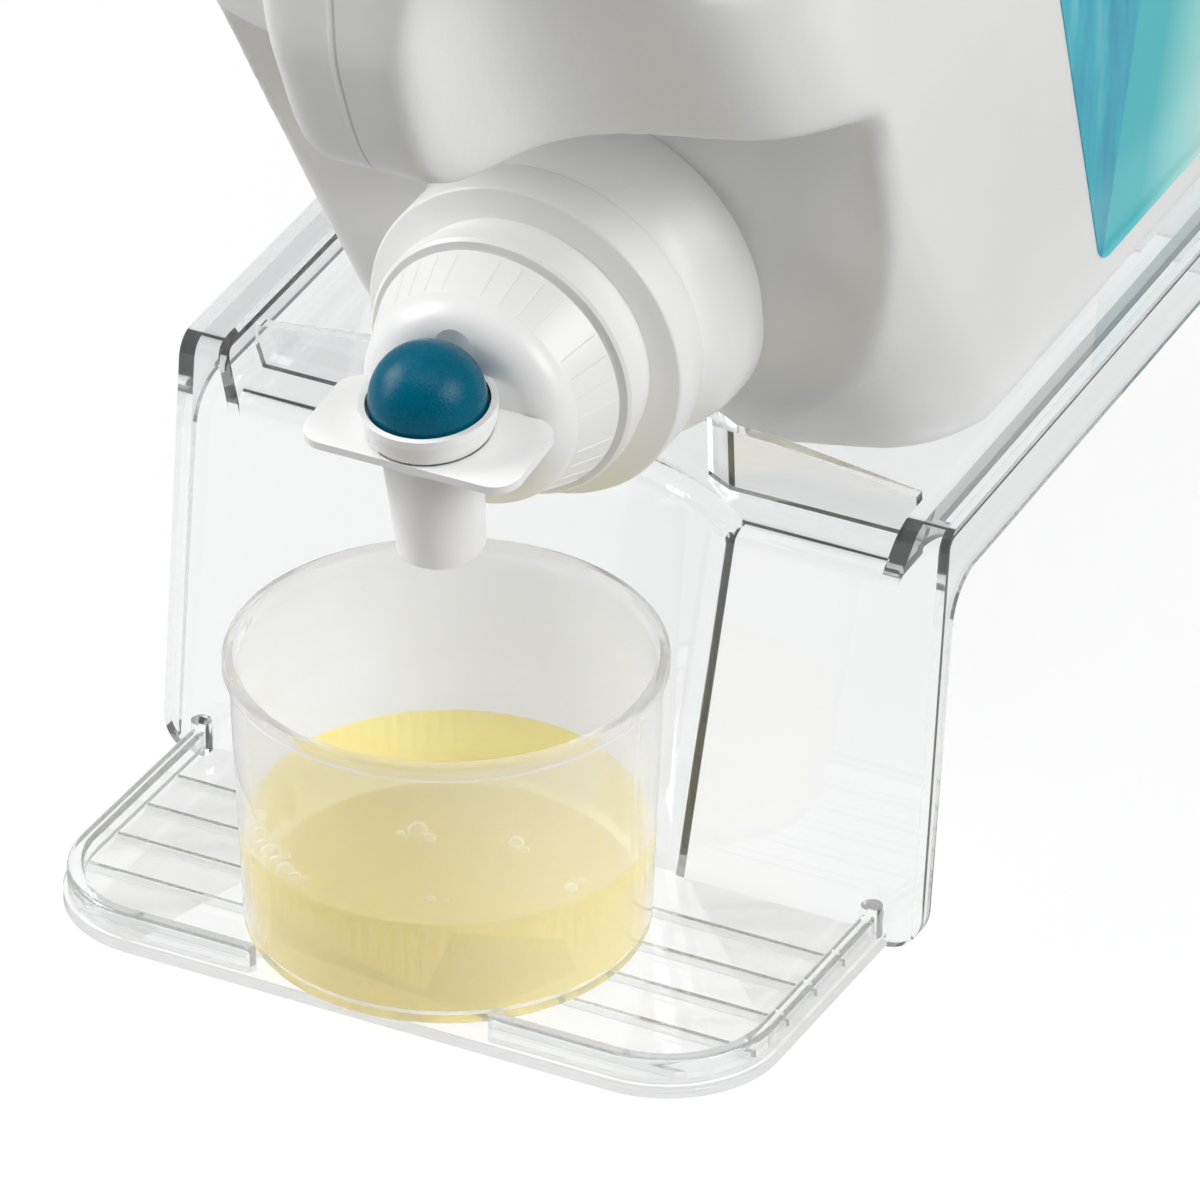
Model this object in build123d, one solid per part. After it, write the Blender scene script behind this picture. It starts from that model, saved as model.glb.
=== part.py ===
"""Press-tap laundry detergent dispenser: a clear cradle, a jug on its side, its tap and a cup.

Millimetres, +Z up, +X to the right, the tap and the tray face -Y.
Every piece is drawn with the measuring cup's axis at Y = 0, and is moved at the end so that
the origin is the middle of the bounding box at the level of the table.
"""
import os
from math import cos, radians, sin, tan

from build123d import *

# Cradle: one clear moulding with a drip tray, a leaning riser and a recessed deck
STAND_WIDTH = 156.0
SHEET = 2.6
SIDE_WALL = 2.4
RISER_HEIGHT = 82.6
RISER_LEAN = 6.6
RISER_SETBACK = 33.7
DECK_LENGTH = 232.0
DECK_PITCH = 3.5
BEND_RADIUS = 5.0
LIP_RADIUS = 5.0
MOUTH_RADIUS = 2.9
FOOT_CORNER_RADIUS = 7.0
SKIRT_DEPTH = 12.0
LEG_FLANGE = 3.6
WINDOW_RADIUS = 10.0

# Drip tray
TRAY_WIDTH = 142.6
TRAY_REACH = 31.4
TRAY_FLOOR = 2.5
TRAY_CORNER_RADIUS = 22.0
RIM_HEIGHT = 5.0
RIM_WALL = 3.0
RIM_LEDGE = 0.8
RIM_GAP = 47.4
RIM_END_RADIUS = 1.4
RIM_TOP_RADIUS = 0.9
RIM_POST_RADIUS = 2.0
RIM_POST_HEIGHT = 6.2
DRIP_RIB_WIDTH = 1.2
DRIP_RIB_HEIGHT = 1.5
DRIP_RIB_PITCH = 11.14
DRIP_RIB_COUNT = 5
DRIP_RIB_LAST = 20.1

# Half-conical niche in the riser that the cup slides back into
NICHE_RADIUS = 44.2
NICHE_TAPER = 8.2

# Recess of the deck that the jug lies in, and the two front stops beside the jug's neck
PAN_DEPTH = 8.8
PAN_CLEARANCE = 1.0
PAN_DRAFT = 16.0
PAN_CORNER_RADIUS = 9.0
STOP_SETBACK = 8.8
STOP_WALL = 2.4
STOP_HEIGHT = 12.8
STOP_INNER = 29.6
STOP_CREST = 39.0
STOP_TIP_REACH = 5.4
STOP_TIP_BACK = 2.6

# Jug: one blow-moulded bottle with a pinched handle, lying on its narrow side
JUG_WIDTH = 130.0
JUG_AXIS_HEIGHT = 35.5
JUG_TOP = 188.0
JUG_BASE = 234.0
JUG_NECK_START = 25.0
JUG_KEEL_RADIUS = 7.0
JUG_EDGE_RADIUS = 16.0
FRONT_FOOT = 41.4
FRONT_SLOPE = 0.546
GRIP_FRONT = -58.5
GRIP_LOW = 61.5
CHIN_BACK = 18.0
CHIN_RISE = 36.0
CHIN_FALL = 14.5
CROWN_RADIUS = 30.0
GRIP_HALF_WIDTH = 13.0
GRIP_EDGE_RADIUS = 5.0
DISH_BOTTOM = 30.5
DISH_BORE = 34.6
DISH_THROAT = 20.0
DISH_THROAT_RADIUS = 36.0
DISH_SLOPE = 0.434
HOLLOW_HALF_WIDTH = 36.0
HOLLOW_TOP = 42.0
HOLLOW_BASE = -37.0
HOLLOW_CORNER = 30.0
HOLLOW_DEPTH = 45.0
HOLLOW_DRAFT = 23.0
HOLE_WIDTH = 30.0
HOLE_LENGTH = 56.0
HOLE_TILT = 14.0
HOLE_BACK = -21.0
HOLE_HEIGHT = 144.0
PINCH_HALF = 17.0
PINCH_LOW = 126.0
PINCH_REAR = -6.0
PINCH_RADIUS = 20.0
PINCH_DRAFT = 30.0

# Jug neck, as distances behind the neck datum along the neck's axis
NECK_RADIUS = 20.0
NECK_BORE = 16.8
NECK_REACH = 10.0
NECK_BORE_DEPTH = 46.0
COLLAR_START = 5.0
COLLAR_RADIUS = 31.4
COLLAR_LENGTH = 9.3
COLLAR_DISH = 1.4
GROOVE_RADIUS = 28.0
GROOVE_BACK = 18.5
SHOULDER_RING_START = 29.0
SHOULDER_RING_RADIUS = 33.8
LUG_RECESS_DEPTH = 0.9
LUG_RECESS_WIDTH = 5.0

# Printed film label on the jug's right side
LABEL_FILM = 0.3
LABEL_TOP = 150.0
LABEL_TOP_FRONT = 64.0
LABEL_BASE = -24.5
LABEL_BASE_FRONT = 105.9
LABEL_REAR = 205.0
LABEL_CORNER = 5.0

# Screw closure, moulded in one with the tap, as distances behind the neck datum
CLOSURE_FRONT = -20.5
CLOSURE_NOSE_RADIUS = 21.0
CLOSURE_NOSE_ROUND = 6.0
CLOSURE_SKIRT_RADIUS = 24.4
CLOSURE_SKIRT_END = -5.3
CLOSURE_GROOVE_RADIUS = 23.6
CLOSURE_GROOVE_WIDTH = 1.0
CLOSURE_FLANGE_RADIUS = 26.2
CLOSURE_FLANGE_END = 0.6
CLOSURE_HEEL_RADIUS = 25.2
CLOSURE_HEEL_END = 4.9
CLOSURE_CROWN = 4.0
NECK_CLEARANCE = 0.4
GASKET_THICKNESS = 1.6

# Tap, as heights above the rim of the button's collar along the tap's axis
TAP_SETBACK = -6.1
TAP_RIM_RISE = 6.8
TAP_TILT = 8.2
CUP_COLLAR_RADIUS = 12.4
CUP_COLLAR_DEPTH = 10.0
WELL_BORE = 11.2
WELL_DEPTH = 9.0
WELL_REACH = 26.0
WING_DROP = 6.0
WING_THICKNESS = 1.6
WING_HALF_SPAN = 21.4
WING_FRONT = 11.4
WING_REAR = 9.4
WING_ROOT_HALF = 13.4
WING_ROOT_REAR = 12.5
WING_CORNER_RADIUS = 5.0
GUIDE_WALL = 2.6
BARREL_TOP_RADIUS = 9.2
BARREL_TIP_RADIUS = 8.0
BARREL_LENGTH = 32.0
BARREL_TIP_ROUND = 0.6
CHAMBER_BORE = 6.4
SEAT_DEPTH = 21.5
SEAT_WALL = 1.6
SEAT_BORE = 3.8
SPOUT_BORE = 6.6
INLET_RADIUS = 3.2
INLET_DROP = 6.5

# Push button and the valve it works
BUTTON_RADIUS = 10.6
BUTTON_CENTRE = 0.4
BUTTON_WALL = 1.5
BUTTON_SKIRT = 4.8
BUTTON_TRAVEL = 4.0
SOCKET_RADIUS = 3.6
SOCKET_DEPTH = 4.0
SHELF_HEIGHT = 1.0
SHELF_THICKNESS = 1.0
SHELF_RADIUS = 6.4
STEM_RADIUS = 1.8
STEM_CLEARANCE = 0.06
PRESS_CLEARANCE = 0.01
POPPET_RADIUS = 5.6
POPPET_THICKNESS = 1.4
DRIP_TIP_RADIUS = 3.2
DRIP_TIP_SHORT = 0.2
SEAL_RADIUS = 5.4
SEAL_THICKNESS = 1.0
SEAT_CLEARANCE = 0.02
STEM_SEAL_RADIUS = 3.6
STEM_SEAL_HEIGHT = 1.4
SPRING_WIRE = 0.8
SPRING_RADIUS = 5.0
SPRING_TURNS = 4.0
SPRING_SIDES = 6
SPRING_FLAT = 0.12

# Measuring cup and what it holds
CUP_HEIGHT = 56.7
CUP_RIM_RADIUS = 40.0
CUP_MOUTH_RADIUS = 38.9
CUP_BASE_RADIUS = 36.9
CUP_BASE_ROUND = 3.0
CUP_WALL = 1.3
CUP_FLOOR = 1.6
CUP_LIP_DEPTH = 3.0
FILL_HEIGHT = 21.9
LIQUID_CLEARANCE = 0.03
DROP_RADIUS = 3.6
DROP_LENGTH = 3.0

# Values worked out from the sizes above
PITCH = radians(DECK_PITCH)
LEAN = radians(RISER_LEAN)
DECK_FRONT_Y = RISER_SETBACK + RISER_HEIGHT * tan(LEAN)
DECK_REAR_Y = DECK_FRONT_Y + DECK_LENGTH * cos(PITCH)
DECK_REAR_Z = RISER_HEIGHT + DECK_LENGTH * sin(PITCH)
REAR_FOOT_Y = DECK_REAR_Y + DECK_REAR_Z * tan(LEAN)
RIB_TOP = TRAY_FLOOR + DRIP_RIB_HEIGHT
PAN_HALF = JUG_WIDTH / 2 + PAN_CLEARANCE
PAN_FLOOR_Z = RISER_HEIGHT - PAN_DEPTH / cos(PITCH)
JUG_ORIGIN_Z = (PAN_FLOOR_Z + (JUG_NECK_START - DECK_FRONT_Y) * tan(PITCH)
                + JUG_AXIS_HEIGHT / cos(PITCH))

DECK = Pos(0, DECK_FRONT_Y, RISER_HEIGHT) * Rot(DECK_PITCH, 0, 0)
JUG = Pos(0, JUG_NECK_START, JUG_ORIGIN_Z) * Rot(DECK_PITCH, 0, 0)
TAP = Pos(0, TAP_SETBACK, JUG_ORIGIN_Z + TAP_RIM_RISE) * Rot(TAP_TILT, 0, 0)


def side_prism(points, half_width, radius=0.0):
    """A prism across X whose outline is given in Y and Z, with one radius at its corners."""
    if radius:
        line = FilletPolyline(*points, radius=radius, close=True)
    else:
        line = Polyline(*points, close=True)
    return Pos(-half_width, 0, 0) * extrude(Plane.YZ * make_face(line), amount=2 * half_width)


def plan_prism(points, low, high):
    """An upright prism between two heights whose outline is given in X and Y."""
    return Pos(0, 0, low) * extrude(make_face(Polyline(*points, close=True)), amount=high - low)


def turned_y(points):
    """A solid turned about the Y axis from points given as radius and distance along Y."""
    return revolve(make_face(Polyline(*points, close=True)), axis=Axis.Y)


def turned_z(points):
    """A solid turned about the Z axis from points given as radius and height."""
    return revolve(Plane.XZ * make_face(Polyline(*points, close=True)), axis=Axis.Z)


def rod(radius, low, high):
    """A cylinder about Z between two heights."""
    return Pos(0, 0, low) * Cylinder(radius, high - low, align=(Align.CENTER, Align.CENTER, Align.MIN))


def shell_profile(inset, floor_z):
    """Outline of the riser, deck and rear leg, moved inwards by a wall."""
    across = inset / cos(LEAN)
    drop = inset / cos(PITCH)
    front_shift = across - drop * tan(LEAN)
    rear_shift = across + drop * tan(LEAN)
    return [
        (RISER_SETBACK + across + floor_z * tan(LEAN), floor_z),
        (DECK_FRONT_Y + front_shift, RISER_HEIGHT - drop + front_shift * tan(PITCH)),
        (DECK_REAR_Y - rear_shift + 2 * drop * tan(LEAN), DECK_REAR_Z - drop - across * tan(PITCH)),
        (REAR_FOOT_Y - across - floor_z * tan(LEAN), floor_z),
    ]


def pan_pocket(growth):
    """The deck's recess, open to the front, or the same recess grown by a wall."""
    length = DECK_LENGTH + BEND_RADIUS
    rear_margin = BEND_RADIUS + SHEET
    outline = RectangleRounded(
        2 * (PAN_HALF + growth), 2 * (length - rear_margin) + 2 * growth, PAN_CORNER_RADIUS + growth)
    block = extrude(outline, amount=PAN_DEPTH * 2, taper=-PAN_DRAFT)
    return DECK * Pos(0, 0, -PAN_DEPTH - growth) * block


def niche_cone(growth, low):
    """The half-conical niche as a full cone about the cup's axis, or grown by a wall."""
    high = RISER_HEIGHT + SHEET
    bottom = NICHE_RADIUS + low * tan(radians(NICHE_TAPER)) + growth
    top = NICHE_RADIUS + high * tan(radians(NICHE_TAPER)) + growth
    return Pos(0, 0, low) * Cone(bottom, top, high - low, align=(Align.CENTER, Align.CENTER, Align.MIN))


def side_windows():
    """The openings that leave a skirt under each deck edge and a flange down each leg."""
    points = shell_profile(LEG_FLANGE, -SHEET)
    skirt = SKIRT_DEPTH / cos(PITCH)
    points[1] = (points[1][0], points[1][1] - skirt + LEG_FLANGE)
    points[2] = (points[2][0], points[2][1] - skirt + LEG_FLANGE)
    outline = Plane.YZ * make_face(Polyline(*points, close=True))
    block = extrude(outline, amount=2 * SIDE_WALL)
    block = fillet(block.edges().filter_by(Axis.X).sort_by(Axis.Z)[-2:], WINDOW_RADIUS)
    inner = STAND_WIDTH / 2 - 1.5 * SIDE_WALL
    return Pos(inner, 0, 0) * block + Pos(-inner - 2 * SIDE_WALL, 0, 0) * block


def tray_outline(inset):
    """The tray's plan, moved inwards by an inset, running back under the riser."""
    width = TRAY_WIDTH - 2 * inset
    front = -TRAY_REACH + inset
    radius = TRAY_CORNER_RADIUS - inset
    depth = 2 * (RISER_SETBACK + SHEET - front)
    return Pos(0, front + depth / 2) * RectangleRounded(width, depth, radius)


def in_front_of_riser(shape):
    """Keeps what lies in front of the middle of the riser's sheet."""
    low = RISER_SETBACK + SHEET / 2
    room = 4 * RISER_HEIGHT
    keep = [(-room, -room), (-room, room), (low + room * tan(LEAN), room), (low - room * tan(LEAN), -room)]
    return shape & side_prism(keep, STAND_WIDTH)


def drip_tray():
    """Tray floor, its rim with the cup's gap, and the drip ribs that the cup stands on."""
    floor = extrude(tray_outline(0), amount=TRAY_FLOOR)
    outer = extrude(tray_outline(RIM_LEDGE), amount=TRAY_FLOOR + RIM_HEIGHT)
    inner = extrude(tray_outline(RIM_LEDGE + RIM_WALL), amount=3 * RIM_HEIGHT)
    rim = outer - inner - Pos(0, -TRAY_REACH, 0) * Box(RIM_GAP, 4 * RIM_WALL, 6 * RIM_HEIGHT)
    ends = [edge for edge in rim.edges().filter_by(Axis.Z) if abs(abs(edge.center().X) - RIM_GAP / 2) < 0.01]
    rim = fillet(ends, RIM_END_RADIUS)
    rim = fillet(rim.faces().sort_by(Axis.Z)[-1].edges(), RIM_TOP_RADIUS)
    ribs = [
        Pos(0, DRIP_RIB_LAST - index * DRIP_RIB_PITCH, RIB_TOP / 2)
        * Box(TRAY_WIDTH, DRIP_RIB_WIDTH, RIB_TOP)
        for index in range(DRIP_RIB_COUNT)
    ]
    ribs = Part() + ribs
    ribs = ribs & extrude(tray_outline(RIM_LEDGE + RIM_WALL / 2), amount=RIB_TOP)
    post_x = TRAY_WIDTH / 2 - RIM_LEDGE - RIM_WALL / 2
    posts = [
        Pos(side * post_x, RISER_SETBACK - RIM_POST_RADIUS / 2, 0)
        * rod(RIM_POST_RADIUS, 0, TRAY_FLOOR + RIM_POST_HEIGHT)
        for side in (-1, 1)
    ]
    return in_front_of_riser(floor + rim + ribs + posts)


def front_stop(side):
    """One upright stop beside the neck, its inner end turned back, its crest falling outwards."""
    front = STOP_SETBACK
    outer = PAN_HALF + PAN_DEPTH * tan(radians(PAN_DRAFT)) / 2
    plan = [
        (STOP_INNER, front), (outer, front), (outer, front + STOP_WALL),
        (STOP_INNER + STOP_WALL / 4, front + STOP_WALL),
        (STOP_INNER - STOP_TIP_REACH + STOP_WALL / 2, front + STOP_TIP_BACK + STOP_WALL),
        (STOP_INNER - STOP_TIP_REACH, front + STOP_TIP_BACK),
    ]
    blank = plan_prism(plan, 0, STOP_HEIGHT)
    crest = [
        (0, -1), (outer, -1), (outer, PAN_DEPTH), (STOP_CREST, STOP_HEIGHT * 0.97),
        (STOP_INNER, STOP_HEIGHT * 0.99), (0, STOP_HEIGHT),
    ]
    profile = extrude(Plane.XZ * make_face(Polyline(*crest, close=True)), amount=-4 * STOP_SETBACK)
    stop = DECK * Pos(0, 0, -PAN_DEPTH) * (blank & profile)
    return stop if side > 0 else mirror(stop, about=Plane.YZ)


def lip_edges(shape):
    """Edges where the recess's floor meets the riser and the niche."""
    low = PAN_FLOOR_Z - 2 * SHEET
    near = [edge for edge in shape.edges() if low < edge.center().Z < RISER_HEIGHT - SHEET and edge.length > 20]
    return [edge for edge in near if edge.center().Y < DECK_FRONT_Y + BEND_RADIUS * 4]


def mouth_edges(shape):
    """Edges where the niche meets the riser's face."""
    middle = RISER_HEIGHT / 2
    near = [edge for edge in shape.edges() if abs(edge.center().Z - middle) < middle / 3]
    return [edge for edge in near if 0 < abs(edge.center().X) < NICHE_RADIUS]


def stand():
    """The whole clear cradle: tray, riser with niche, recessed deck, skirts and rear leg."""
    outer = side_prism(shell_profile(0, 0), STAND_WIDTH / 2)
    outer = fillet(outer.edges().filter_by(Axis.X).sort_by(Axis.Z)[-2:], BEND_RADIUS)
    outer = fillet(outer.edges().filter_by(Axis.Y).sort_by(Axis.Z)[:2], FOOT_CORNER_RADIUS)
    outer = outer - pan_pocket(0) - niche_cone(0, TRAY_FLOOR)
    outer = fillet(lip_edges(outer), LIP_RADIUS)
    outer = fillet(mouth_edges(outer), MOUTH_RADIUS)
    void = side_prism(shell_profile(SHEET, -SHEET), STAND_WIDTH / 2 - SIDE_WALL)
    void = fillet(void.edges().filter_by(Axis.X).sort_by(Axis.Z)[-2:], BEND_RADIUS - SHEET)
    void = void - pan_pocket(SHEET) - niche_cone(SHEET, -2 * SHEET)
    void = fillet(lip_edges(void), LIP_RADIUS - SHEET)
    void = fillet(mouth_edges(void), MOUTH_RADIUS - SHEET)
    shell = outer - void - side_windows()
    shell = shell + drip_tray()
    return shell + front_stop(1) + front_stop(-1)


def jug_flanks():
    """The jug in plan, drawn as one leaning prism: its grip fin flares into the two shoulders."""
    half = JUG_WIDTH / 2
    back = JUG_BASE + 2 * JUG_WIDTH
    fin = -2 * JUG_WIDTH
    low = -JUG_AXIS_HEIGHT - JUG_KEEL_RADIUS
    high = JUG_TOP + JUG_KEEL_RADIUS
    front = FRONT_FOOT + FRONT_SLOPE * JUG_KEEL_RADIUS
    right = [
        (GRIP_HALF_WIDTH, -46), (GRIP_HALF_WIDTH + 1.6, -26), (GRIP_HALF_WIDTH + 8, -8),
        (GRIP_HALF_WIDTH + 22, 0.6), (half - 21, 3.4), (half - 8, 10), (half - 1.6, 20), (half, 32),
    ]
    curve = Spline(*right, tangents=[(0, 1), (0, 1)])
    left = mirror(curve, about=Plane.YZ)
    outline = [
        curve,
        Line((half, 32), (half, back)),
        Line((half, back), (-half, back)),
        Line((-half, back), (-half, 32)),
        left,
        Line((-GRIP_HALF_WIDTH, -46), (-GRIP_HALF_WIDTH, fin)),
        Line((-GRIP_HALF_WIDTH, fin), (GRIP_HALF_WIDTH, fin)),
        Line((GRIP_HALF_WIDTH, fin), (GRIP_HALF_WIDTH, -46)),
    ]
    face = make_face(outline)
    rise = high - low
    lean = Vector(0, -FRONT_SLOPE, 1).normalized()
    return Pos(0, front, low) * extrude(face, amount=rise / lean.Z, dir=lean)


def jug_silhouette():
    """The jug from the side: flat keel, upright base, rounded grip chin and leaning shoulder."""
    low = -JUG_AXIS_HEIGHT
    tuck = GRIP_LOW - CHIN_FALL
    chin_back = (GRIP_FRONT + CHIN_BACK, GRIP_LOW)
    throat = (FRONT_FOOT - FRONT_SLOPE * (tuck - low), tuck)
    chin_top = (GRIP_FRONT, GRIP_LOW + CHIN_RISE)
    crown = (GRIP_FRONT, JUG_TOP - CROWN_RADIUS)
    chin = Spline(
        chin_top,
        (GRIP_FRONT + CHIN_BACK * 0.12, GRIP_LOW + CHIN_RISE * 0.70),
        (GRIP_FRONT + CHIN_BACK * 0.44, GRIP_LOW + CHIN_RISE * 0.27),
        chin_back,
        tangents=[(0, -1), (throat[0] - chin_back[0], throat[1] - chin_back[1])],
    )
    top = (GRIP_FRONT + CROWN_RADIUS, JUG_TOP)
    rest = Polyline(chin_back, throat, (FRONT_FOOT, low), (JUG_BASE, low), (JUG_BASE, JUG_TOP), top)
    face = make_face([chin, rest, RadiusArc(crown, top, CROWN_RADIUS), Line(crown, chin_top)])
    return Pos(-JUG_WIDTH, 0, 0) * extrude(Plane.YZ * face, amount=2 * JUG_WIDTH)


def fin_edges(shape):
    """Edges along the grip fin's front and chin."""
    near = [edge for edge in shape.edges() if edge.center().Y < -NECK_REACH]
    return [edge for edge in near if GRIP_HALF_WIDTH - 1 < abs(edge.center().X) < JUG_WIDTH / 4]


def level_edges(shape, axis, place):
    """Edges whose middle lies at one place along an axis."""
    return [edge for edge in shape.edges() if abs(edge.center().dot(axis) - place) < 0.1]


def neck_dish():
    """The flaring hollow round the neck, cut from the shoulder and the underside of the grip."""
    reach = GRIP_FRONT - JUG_EDGE_RADIUS
    mouth = DISH_THROAT_RADIUS + DISH_SLOPE * (DISH_THROAT - reach)
    return turned_y([
        (0, DISH_BOTTOM), (DISH_BORE, DISH_BOTTOM), (DISH_THROAT_RADIUS, DISH_THROAT),
        (mouth, reach), (0, reach),
    ])


def shoulder_hollow():
    """The wide hollow under the grip's brow, flaring forward from round the neck."""
    floor = Plane(origin=(0, DISH_BOTTOM, 0), x_dir=(1, 0, 0), z_dir=(0, -1, 0))
    middle = (HOLLOW_TOP + HOLLOW_BASE) / 2
    outline = RectangleRounded(2 * HOLLOW_HALF_WIDTH, HOLLOW_TOP - HOLLOW_BASE, HOLLOW_CORNER)
    return floor * Pos(0, middle, 0) * extrude(outline, amount=HOLLOW_DEPTH, taper=-HOLLOW_DRAFT)


def neck_rings():
    """Threaded neck end, wide collar, groove and shoulder ring, turned as one."""
    points = [
        (0, -NECK_REACH), (NECK_RADIUS, -NECK_REACH), (NECK_RADIUS, COLLAR_START),
        (CLOSURE_FLANGE_RADIUS, COLLAR_START + COLLAR_DISH / 4), (COLLAR_RADIUS - 1, COLLAR_START + COLLAR_DISH),
        (COLLAR_RADIUS, COLLAR_START + COLLAR_DISH + 0.6),
        (COLLAR_RADIUS, COLLAR_START + COLLAR_LENGTH - 0.6),
        (COLLAR_RADIUS - 0.7, COLLAR_START + COLLAR_LENGTH),
        (GROOVE_RADIUS + 0.8, COLLAR_START + COLLAR_LENGTH + 0.9),
        (GROOVE_RADIUS, GROOVE_BACK), (GROOVE_RADIUS + 0.7, GROOVE_BACK + 2.6),
        (SHOULDER_RING_RADIUS - 1, SHOULDER_RING_START - 0.8),
        (SHOULDER_RING_RADIUS, SHOULDER_RING_START), (SHOULDER_RING_RADIUS, DISH_BOTTOM + 2),
        (DISH_BORE - 2, NECK_BORE_DEPTH), (0, NECK_BORE_DEPTH),
    ]
    return turned_y(points)


def lug_recesses():
    """The shallow crescent hollows on both sides of the neck's collar."""
    middle = COLLAR_START + COLLAR_LENGTH * 0.62
    recess = Pos(0, middle, 0) * Rot(90, 0, 0) * (
        Cylinder(COLLAR_RADIUS + 3, LUG_RECESS_WIDTH) - Cylinder(COLLAR_RADIUS - LUG_RECESS_DEPTH, LUG_RECESS_WIDTH))
    keep = Pos(0, middle, -3.5) * Box(4 * COLLAR_RADIUS, 2 * LUG_RECESS_WIDTH, COLLAR_RADIUS)
    return recess & keep


def grip_hole():
    """Finger hole through the grip, with both flanks pinched in round it."""
    hole = Plane.YZ * (Rot(0, 0, 90 + HOLE_TILT) * SlotOverall(HOLE_LENGTH, HOLE_WIDTH))
    cut = Pos(0, HOLE_BACK, HOLE_HEIGHT) * extrude(hole, amount=JUG_WIDTH, both=True)
    reach = GRIP_FRONT - JUG_WIDTH
    high = JUG_TOP + JUG_WIDTH
    pocket = Plane.YZ * RectangleRounded(PINCH_REAR - reach, high - PINCH_LOW, PINCH_RADIUS)
    pocket = extrude(pocket, amount=JUG_WIDTH / 2, taper=-PINCH_DRAFT)
    pocket = Pos(PINCH_HALF, (PINCH_REAR + reach) / 2, (PINCH_LOW + high) / 2) * pocket
    return cut + pocket + mirror(pocket, about=Plane.YZ)


def jug():
    """The whole bottle with its neck bore, lying with its keel on the deck's recess."""
    body = jug_flanks() & jug_silhouette()
    body = fillet(fin_edges(body), GRIP_EDGE_RADIUS)
    body = body - neck_dish()
    body = fillet(level_edges(body, Vector(0, 1, 0), JUG_BASE), JUG_EDGE_RADIUS)
    keel = level_edges(body, Vector(0, 0, 1), -JUG_AXIS_HEIGHT)
    body = fillet([edge for edge in keel if edge.center().Y < JUG_BASE - JUG_KEEL_RADIUS], JUG_KEEL_RADIUS)
    body = body - shoulder_hollow() - grip_hole()
    body = body + neck_rings() - lug_recesses()
    bore = Pos(0, NECK_BORE_DEPTH / 2 - NECK_REACH, 0) * Rot(90, 0, 0) * Cylinder(NECK_BORE, NECK_BORE_DEPTH)
    return JUG * (body - bore)


def side_label():
    """Film label on the flat of the jug's right side."""
    outline = [
        (LABEL_BASE_FRONT, LABEL_BASE), (LABEL_REAR, LABEL_BASE),
        (LABEL_REAR, LABEL_TOP), (LABEL_TOP_FRONT, LABEL_TOP),
    ]
    face = make_face(FilletPolyline(*outline, radius=LABEL_CORNER, close=True))
    return JUG * Pos(JUG_WIDTH / 2, 0, 0) * extrude(Plane.YZ * face, amount=LABEL_FILM)


def closure():
    """Screw closure: rounded nose, knurled cone, groove and flange over the jug's neck."""
    nose = CLOSURE_NOSE_RADIUS - CLOSURE_NOSE_ROUND
    groove = CLOSURE_SKIRT_END + CLOSURE_GROOVE_WIDTH
    profile = Polyline(
        (CLOSURE_NOSE_RADIUS, CLOSURE_FRONT + CLOSURE_NOSE_ROUND),
        (CLOSURE_SKIRT_RADIUS, CLOSURE_SKIRT_END), (CLOSURE_GROOVE_RADIUS, CLOSURE_SKIRT_END),
        (CLOSURE_GROOVE_RADIUS, groove), (CLOSURE_FLANGE_RADIUS - 0.6, groove),
        (CLOSURE_FLANGE_RADIUS, groove + 0.6), (CLOSURE_FLANGE_RADIUS, CLOSURE_FLANGE_END - 0.6),
        (CLOSURE_HEEL_RADIUS, CLOSURE_FLANGE_END), (CLOSURE_HEEL_RADIUS, CLOSURE_HEEL_END),
        (0, CLOSURE_HEEL_END), (0, CLOSURE_FRONT), (nose, CLOSURE_FRONT),
    )
    edge = RadiusArc(
        (nose, CLOSURE_FRONT), (CLOSURE_NOSE_RADIUS, CLOSURE_FRONT + CLOSURE_NOSE_ROUND), -CLOSURE_NOSE_ROUND)
    body = revolve(make_face([profile, edge]), axis=Axis.Y)
    seat = -NECK_REACH - GASKET_THICKNESS
    cavity = turned_y([
        (0, CLOSURE_FRONT + CLOSURE_CROWN), (NECK_BORE, CLOSURE_FRONT + CLOSURE_CROWN), (NECK_BORE, seat),
        (NECK_RADIUS + NECK_CLEARANCE, seat), (NECK_RADIUS + NECK_CLEARANCE, CLOSURE_HEEL_END + 1),
        (0, CLOSURE_HEEL_END + 1),
    ])
    return body - cavity


def wing_plate():
    """Finger rest under the button, its root running back into the closure."""
    front = extrude(Pos(0, (WING_REAR - WING_FRONT) / 2) * RectangleRounded(
        2 * WING_HALF_SPAN, WING_FRONT + WING_REAR, WING_CORNER_RADIUS), amount=WING_THICKNESS)
    root = Pos(0, WING_ROOT_REAR / 2, WING_THICKNESS / 2) * Box(
        2 * WING_ROOT_HALF, WING_ROOT_REAR, WING_THICKNESS)
    return Pos(0, 0, -WING_DROP - WING_THICKNESS) * (front + root)


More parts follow.
